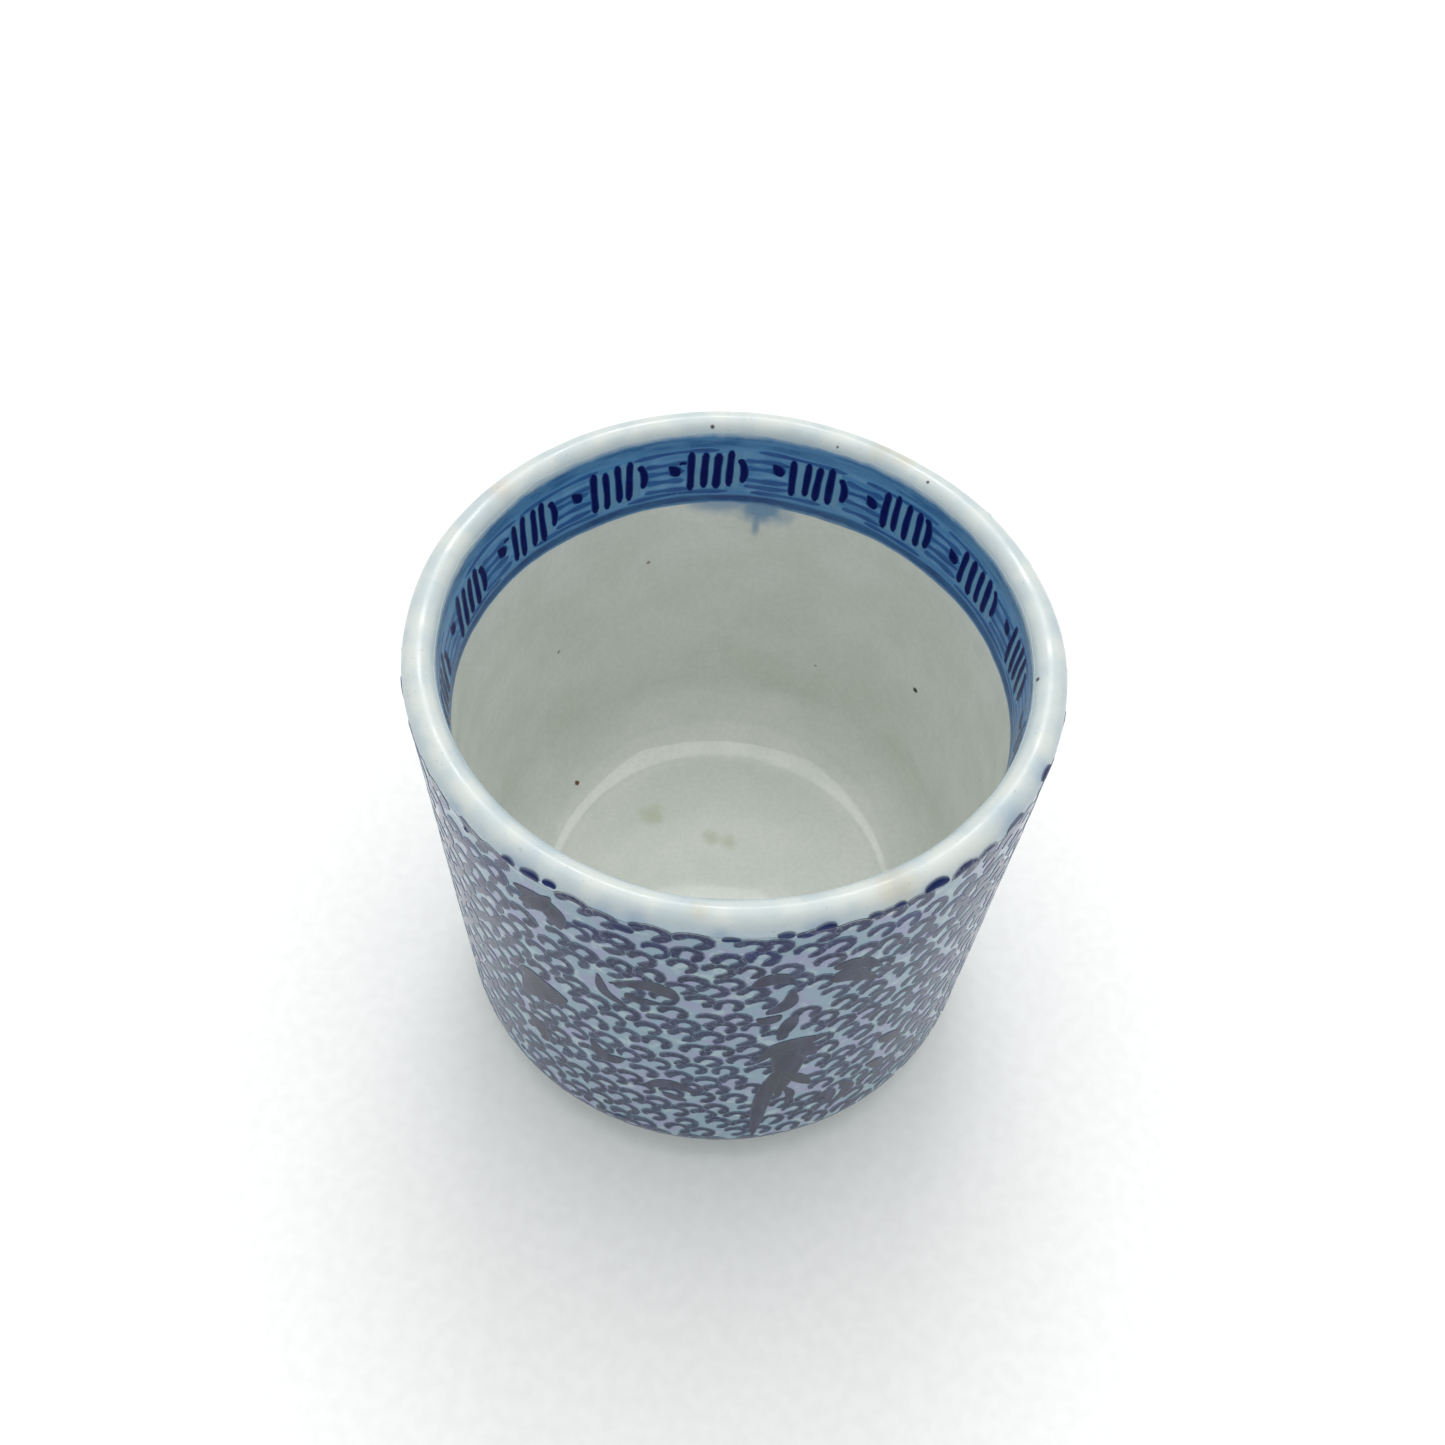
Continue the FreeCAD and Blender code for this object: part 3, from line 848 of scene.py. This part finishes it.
def far_from_leaves(place, leaves, clear):
    """True where a hook centred here would stand clear of every broad mark."""
    for mark, drift, grown in leaves:
        for share in (0.08, 0.25, 0.4, 0.55, 0.7, 0.85):
            gap = mark["path"](share) + Vector((drift, 0.0)) - place
            gap.x = from_front(gap.x)
            if gap.length < mark["width"](share) * grown / 2 + clear:
                return False
    return True


def hook_path(centre, wide, tall, opens, curls, tilt):
    """One hooked stroke: up from the left, over the top, down the right and back under."""

    def path(share):
        turn = math.radians(opens + (curls - opens) * share)
        shrink = 1 - 0.34 * smooth_step(0.62, 1.05, share)
        x = wide * math.cos(turn) * shrink
        y = tall * math.sin(turn) * (1 - 0.1 * share)
        lean, stand = math.sin(tilt), math.cos(tilt)
        return centre + Vector((x * stand - y * lean, x * lean + y * stand))

    return path


# The rows of hooks: how far apart the hooks and the rows are, and how far down the first and last rows lie.
HOOK_PITCH = 3.85
ROW_GAP = 3.1
FIRST_ROW = 2.2
LAST_ROW = 59.6

# The top row's hooks on the front, within this reach of it, are placed one by one: how far round, how far
# down, and half of how wide and how tall each is.
FRONT_TOP_REACH = 31.0
FRONT_TOP_HOOKS = (
    (-27.8, 1.0, 1.3, 1.3), (-24.8, 0.9, 1.5, 1.3), (-14.7, 0.5, 1.7, 1.4), (-11.6, 1.2, 1.4, 1.3),
    (-6.4, 0.9, 1.6, 1.5), (-2.2, 1.2, 1.7, 1.5), (3.8, 2.0, 1.5, 1.3), (6.2, 2.2, 1.3, 1.3),
    (10.6, 0.8, 1.6, 1.3), (14.0, 1.0, 1.5, 1.3), (18.0, 0.6, 1.4, 1.2), (21.2, 0.6, 1.4, 1.2),
    (27.1, -0.1, 1.5, 1.2), (30.2, 0.2, 1.3, 1.2),
)


def loose_hook(rng, centre, fullness):
    """A hook's path, width and tone, as they vary from one stroke of the hand to the next."""
    wide, tall = rng.uniform(1.2, 1.5), rng.uniform(1.25, 1.6)
    opens, curls = rng.uniform(172, 215), rng.uniform(-125, -55)
    tilt, brush = rng.uniform(-0.3, 0.2), rng.uniform(1.02, 1.34)
    thick, phase = rng.uniform(0.1, 0.3), rng.uniform(-1.5, 1.5)
    path = hook_path(centre, wide, tall, opens, curls, tilt)
    return path, round_ended(brush * fullness, thick, phase), rng.random()


def make_hooks(leaves):
    """Rows of small hooks that fill the wall between the leaves, in three bands of rows."""
    rng = random.Random(23)
    names = ("upper_wave_strokes", "middle_wave_strokes", "lower_wave_strokes")
    bands = [Painting() for _ in names]
    per_row = round(AROUND_CUP / HOOK_PITCH)
    rows = round((LAST_ROW - FIRST_ROW) / ROW_GAP) + 1
    for row in range(rows):
        band = bands[len(bands) * row // rows]
        drift = rng.uniform(-0.4, 0.4)
        swing = rng.uniform(0, 2 * math.pi)
        for count in range(per_row):
            share = count / per_row
            x = (count + 0.5 * (row % 2)) * AROUND_CUP / per_row + drift + rng.uniform(-0.65, 0.65)
            sway = 0.5 * math.sin(4 * math.pi * share + swing)
            y = FIRST_ROW + row * ROW_GAP + sway + rng.uniform(-0.6, 0.6)
            centre = Vector((x, -y))
            path, width, tone = loose_hook(rng, centre, 1.2 if row == 0 else 1.0)
            placed_singly = row == 0 and abs(from_front(x)) < FRONT_TOP_REACH
            if not placed_singly and far_from_leaves(centre, leaves, 0.1):
                band.stroke(path, width, STROKE_LIFT, 11, 2, tone)
    for x, y, wide, tall in FRONT_TOP_HOOKS:
        centre = Vector((x, -y - tall * 0.6))
        path = hook_path(centre, wide, tall, 185, rng.uniform(-110, -60), rng.uniform(-0.2, 0.1))
        bands[0].stroke(path, round_ended(1.35, 0.15, 1.0), STROKE_LIFT, 12, 3, 0.9)
    ink = wave_ink_finish()
    for band, name in zip(bands, names):
        finish_piece(band.put_outside(), name, ink, ["outer_painting"])


def make_leaves(leaves):
    """The broad leaf and plume marks, each one full brush stroke."""
    painting = Painting()
    for mark, drift, grown in leaves:

        def path(share, mark=mark, drift=drift):
            return mark["path"](share) + Vector((drift, 0.0))

        def width(share, mark=mark, grown=grown):
            ragged = 0.07 * noise.noise(Vector((share * 6.0, drift, grown * 5)))
            return mark["width"](share) * grown * (1 + ragged)

        painting.stroke(path, width, LEAF_LIFT, 20, 6)
    return finish_piece(painting.put_outside(), "leaf_and_plume_marks", leaf_ink_finish())


# The dark dabs, most of them along the top edge on the front: how far round and down, length and width.
FRONT_DABS = (
    (-29.2, 1.2, 1.0, 2.4), (-22.6, 0.2, 1.6, 1.1), (-19.8, 0.0, 2.4, 1.5), (-17.4, -0.4, 1.6, 0.9),
    (-9.4, 2.4, 2.4, 1.6), (-7.9, 0.9, 1.6, 0.9), (1.6, 1.1, 1.9, 0.9), (7.0, 0.7, 1.7, 1.4),
    (8.9, 1.1, 1.6, 1.1), (11.0, 0.1, 2.2, 1.2), (16.2, 0.4, 1.5, 1.2), (18.8, 0.1, 1.5, 0.9),
    (23.2, -0.3, 3.0, 1.3), (34.9, 0.0, 3.0, 1.3), (42.0, -0.6, 2.6, 0.7),
    (-18.8, 44.5, 0.8, 0.6), (-28.0, 57.1, 0.8, 0.5), (36.9, 55.3, 0.7, 0.6), (-11.5, 58.5, 1.4, 0.6),
    (1.6, 52.2, 1.1, 0.6), (70.0, 31.0, 0.7, 0.5), (95.0, 50.0, 0.9, 0.6), (133.0, 55.5, 0.8, 0.5),
)

# How far round, to the right and to the left, the front's dabs reach; others fill the way behind.
RIGHT_DABS_END = 44.0
LEFT_DABS_END = 32.0


def make_edge_blots():
    """Dark blots where the painter began the top row, some run together."""
    rng = random.Random(5)
    dabs = list(FRONT_DABS)
    x = RIGHT_DABS_END
    while x < AROUND_CUP - LEFT_DABS_END:
        dabs.append((x, rng.uniform(0.6, 1.7), rng.uniform(1.4, 3.2), rng.uniform(0.9, 1.6)))
        x += rng.uniform(2.5, 7.5)
    painting = Painting()
    for x, y, long, wide in dabs:
        rise = rng.uniform(-0.5, 0.5)
        middle = (x, y - rng.uniform(0.0, 0.4))
        path = curve_through((x - long / 2, y + rise * 0.5), middle, (x + long / 2, y - rise * 0.5))
        painting.stroke(path, dab_shaped(wide, rng.uniform(0, 3)), LEAF_LIFT, 12, 4)
    return finish_piece(painting.put_outside(), "top_edge_blots", blot_ink_finish())


def make_foot_line():
    """The thin uneven line that closes the painting at the bottom of the wall."""
    rng = random.Random(3)
    painting = Painting()
    pieces, down = 9, 61.5
    for part in range(pieces):
        starts = part * AROUND_CUP / pieces
        ends = starts + AROUND_CUP / pieces * rng.uniform(0.8, 1.02)
        low = [down + rng.uniform(-0.25, 0.25) for _ in range(4)]
        path = curve_through(*zip(spread(starts, ends, 4), low))
        painting.stroke(path, round_ended(rng.uniform(0.55, 0.8), 0.2, part), STROKE_LIFT, 44, 2, 0.2)
    return finish_piece(painting.put_outside(), "foot_line", wave_ink_finish())


# ---------------------------------------------------------------- the border inside

# The upright strokes come in groups: how many, how far apart, and where the first group's first stroke is.
GROUPS = 16
AROUND_INSIDE = 2 * math.pi * INSIDE_GIRTH
GROUP_PITCH = AROUND_INSIDE / GROUPS
GROUP_STROKES = 5
FIRST_STROKE = -7.3
STROKE_GAP = 1.7


def border_groups():
    """Where each group of upright strokes begins, how far down it sits, and its strokes' leans."""
    rng = random.Random(41)
    for group in range(GROUPS):
        starts = FIRST_STROKE + group * GROUP_PITCH + rng.uniform(-0.25, 0.25)
        sinks = 0.45 * math.cos(2 * math.pi * group / GROUPS + 2.2)
        strokes = []
        for count in range(GROUP_STROKES):
            x = starts + count * STROKE_GAP + rng.uniform(-0.16, 0.16)
            top = BORDER_STROKES_TOP + 0.4 + sinks + rng.uniform(-0.45, 0.35)
            foot = BORDER_STROKES_FOOT - 0.85 + sinks + rng.uniform(-0.4, 0.3)
            lean = rng.uniform(-0.1, 0.45)
            strokes.append((x, top, foot, lean))
        yield starts, sinks, strokes


def make_border_wash():
    """The wash between the two lines, all the way round."""
    starts, ends = BORDER_TOP - 1.2, BORDER_FOOT + 0.1
    outline = [inside.at(along, WASH_LIFT) for along in spread(starts, ends, 26)]
    outline += [inside.at(along, -FILM_DEPTH) for along in spread(ends, starts, 6)]
    bm = turn_on_wheel(outline)
    throw_by_hand(bm)
    return finish_piece(bm, "border_wash_band", border_wash_finish(), ["border_wash"])


def make_round_line(name, node, ink, middle, width, wave, seed):
    """A thick line painted right round the inside in one turn of the wheel, its ends overlapping."""
    length = AROUND_INSIDE + 2.0

    def unevenness(x, pace, part):
        return noise.noise(Vector((x * pace, seed, part)))

    def path(share):
        x = -length / 2 + share * length
        sway = unevenness(x, 0.07, 0.0) * wave + unevenness(x, 0.4, 3.0) * wave * 0.3
        return Vector((x, -(middle + sway)))

    def breadth(share):
        x = share * length
        return width * (1 + 0.22 * unevenness(x, 0.12, 7.0) + 0.1 * unevenness(x, 0.6, 9.0))

    painting = Painting()
    painting.stroke(path, breadth, LINE_LIFT, 360, 6)
    return finish_piece(painting.put_inside(), name, ink, [node])


def make_border_lines():
    """The thick lines above and below the border, the upper one melting into the lip's glaze."""
    deep, light = linear(34, 98, 152), linear(76, 132, 178)
    ink = border_line_finish("cobalt_top_line", deep, light, (-0.75, 0.25), linear(178, 194, 202))
    high = BORDER_TOP - 0.35
    make_round_line("border_top_line_stroke", "border_top_line", ink, high, 2.8, 0.5, 1.0)
    deep, light = linear(12, 62, 122), linear(38, 92, 142)
    ink = border_line_finish("cobalt_bottom_line", deep, light, (11.6, 10.7), linear(112, 146, 178))
    low = BORDER_FOOT - 0.75
    make_round_line("border_bottom_line_stroke", "border_bottom_line", ink, low, 1.75, 0.3, 5.0)


def make_fine_lines():
    """Fine level lines drawn through the wash between the groups, and longer ones above and below them."""
    rng = random.Random(17)
    painting = Painting()

    def level_line(left, middle, right, down, sways):
        places = [(x, down + rng.uniform(-sway, sway)) for x, sway in zip((left, middle, right), sways)]
        return curve_through(*places)

    for _, sinks, strokes in border_groups():
        left = strokes[-1][0] + 0.2
        right = left + GROUP_PITCH - (GROUP_STROKES - 1) * STROKE_GAP - 0.6
        for down in (3.95, 5.35, 7.0, 8.4):
            y = down + sinks * 0.6 + rng.uniform(-0.2, 0.2)
            ends = right + rng.uniform(-0.6, 0.5)
            path = level_line(left, (left + ends) / 2, ends, y, (0.1, 0.15, 0.2))
            width = round_ended(rng.uniform(0.95, 1.25), 0.25, rng.uniform(0, 3))
            painting.stroke(path, width, FINE_LIFT, 14, 2)
    long_lines = 14
    for down in (2.3, 9.2):
        for part in range(long_lines):
            x = part * AROUND_INSIDE / long_lines + rng.uniform(-2, 2)
            length = rng.uniform(8.0, 14.0)
            path = level_line(x, x + length / 2, x + length, down, (0.2, 0.2, 0.2))
            painting.stroke(path, round_ended(0.9, 0.25, part), FINE_LIFT, 24, 2)
    ink = border_line_finish("cobalt_fine_lines", linear(8, 70, 138), linear(28, 92, 154))
    return finish_piece(painting.put_inside(), "border_fine_lines", ink, ["border_wash"])


def make_gaps():
    """Pale gaps that the wash leaves between the upright strokes of a group."""
    painting = Painting()
    for _, _, strokes in border_groups():
        for (x, top, foot, lean), (next_x, next_top, next_foot, next_lean) in zip(strokes, strokes[1:]):
            middle, half_lean = (x + next_x) / 2, (lean + next_lean) / 4
            begins = (middle + half_lean, max(top, next_top) - 0.2)
            ends = (middle - half_lean, min(foot, next_foot) + 0.4)
            painting.stroke(curve_through(begins, ends), round_ended(1.2), GAP_LIFT, 8, 2)
    ink = border_gap_finish()
    return finish_piece(painting.put_inside(), "border_pale_gaps", ink, ["border_wash"])


def make_border_strokes():
    """The dark upright strokes: four straight ones, a bowed one and a dot in every group."""
    rng = random.Random(29)
    painting = Painting()
    for starts, sinks, strokes in border_groups():
        for x, top, foot, lean in strokes[:-1]:
            bow = rng.uniform(-0.12, 0.12)
            path = curve_through((x + lean / 2, top), (x + bow, (top + foot) / 2), (x - lean / 2, foot))
            width = round_ended(rng.uniform(1.0, 1.22), 0.06, rng.uniform(0, 6))
            painting.stroke(path, width, STROKE_LIFT, 12, 4)
        x, top, foot, _ = strokes[-1]
        top, foot = top + rng.uniform(0.5, 1.1), foot - rng.uniform(0.9, 1.5)
        belly = (x + 0.3, (top + foot) / 2 + 0.4)
        path = curve_through((x - 0.4, top), (x + 0.12, top + 1.0), belly, (x, foot))
        painting.stroke(path, round_ended(rng.uniform(1.0, 1.2), 0.08, 2.5), STROKE_LIFT, 14, 4)
        dot_x, dot_y = starts - 2.2 + rng.uniform(-0.25, 0.25), 5.3 + sinks + rng.uniform(-0.5, 0.4)
        path = curve_through((dot_x - 0.75, dot_y - 0.9), (dot_x, dot_y), (dot_x + 0.5, dot_y + 1.0))
        painting.stroke(path, leaf_shaped(rng.uniform(1.7, 2.1), 0.58), STROKE_LIFT, 10, 4)
        has_tail = rng.random() < 0.35
        if has_tail:
            tail = [(dot_x + 0.6, dot_y - 1.0), (dot_x + 1.1, dot_y - 1.15), (dot_x + 1.6, dot_y - 1.0)]
            painting.stroke(curve_through(*tail), round_ended(0.55), STROKE_LIFT, 6, 2)
    films, ink = painting.put_inside(), border_stroke_finish()
    return finish_piece(films, "border_upright_strokes", ink, ["border_strokes"])


# ---------------------------------------------------------------- the studio


def floor_finish():
    finish = Finish("pale_floor", roughness=0.7)
    fibres = finish.ramp(finish.mottle(2.0, detail=4.0), 0.3, 0.7)
    return finish.done(finish.blend(fibres, linear(240, 240, 238), linear(244, 244, 242)))


def make_floor():
    """A wide sheet of off-white paper, three metres from its middle to its sides."""
    bm = bmesh.new()
    bmesh.ops.create_grid(bm, x_segments=4, y_segments=4, size=3.0)
    mesh = bpy.data.meshes.new("studio_floor")
    bm.to_mesh(mesh)
    bm.free()
    mesh.materials.append(floor_finish())
    floor = bpy.data.objects.new("studio_floor", mesh)
    bpy.context.scene.collection.objects.link(floor)


def soft_light(name, place, target, across, tall, power):
    """A soft box that points at the target. Places and sizes are in metres."""
    lamp = bpy.data.lights.new(name, "AREA")
    lamp.shape = "RECTANGLE"
    lamp.size = across
    lamp.size_y = tall
    lamp.energy = power
    light = bpy.data.objects.new(name, lamp)
    light.location = place
    light.rotation_euler = (Vector(target) - Vector(place)).to_track_quat("-Z", "Y").to_euler()
    bpy.context.scene.collection.objects.link(light)


def make_lights():
    """Even cool light from all round, a soft box overhead, and a strip at the back that brightens the ring
    of light on the bend inside."""
    world = bpy.data.worlds.new("studio_air")
    bpy.context.scene.world = world
    world.use_nodes = True
    air = world.node_tree.nodes["Background"]
    air.inputs["Color"].default_value = (0.97, 0.985, 1.0, 1.0)
    air.inputs["Strength"].default_value = 0.74
    soft_light("overhead_soft_box", (0.0, 0.19, 0.88), (0, 0, 0.03), 0.8, 0.8, 3.9)
    soft_light("back_strip_light", (0.0, 0.574, 0.819), (0, 0, 0.015), 0.36, 0.07, 1.8)


def make_camera():
    """Looks down at the cup's front from just above it, held a little tilted."""
    data = bpy.data.cameras.new("product_camera")
    data.sensor_width = 36.0
    data.lens = 39.86
    data.clip_start, data.clip_end = 0.01, 20.0
    camera = bpy.data.objects.new("product_camera", data)
    place = Vector((0.0, -116.577, 211.395)) * MM
    aim = Vector((-0.933, 0.0, 52.805)) * MM
    tilt = math.radians(3.575)
    facing = (aim - place).to_track_quat("-Z", "Y").to_matrix().to_4x4()
    camera.matrix_world = Matrix.Translation(place) @ facing @ Matrix.Rotation(tilt, 4, "Z")
    bpy.context.scene.collection.objects.link(camera)
    bpy.context.scene.camera = camera


make_camera()
make_lights()
make_floor()
make_thrown_body()
make_foot()
make_outer_glaze()
make_lip_glaze()
make_inner_glaze()
make_base_glaze()
leaves = all_leaves()
make_hooks(leaves)
make_leaves(leaves)
make_edge_blots()
make_foot_line()
make_border_wash()
make_border_lines()
make_fine_lines()
make_gaps()
make_border_strokes()
bpy.context.scene.view_settings.view_transform = "Standard"
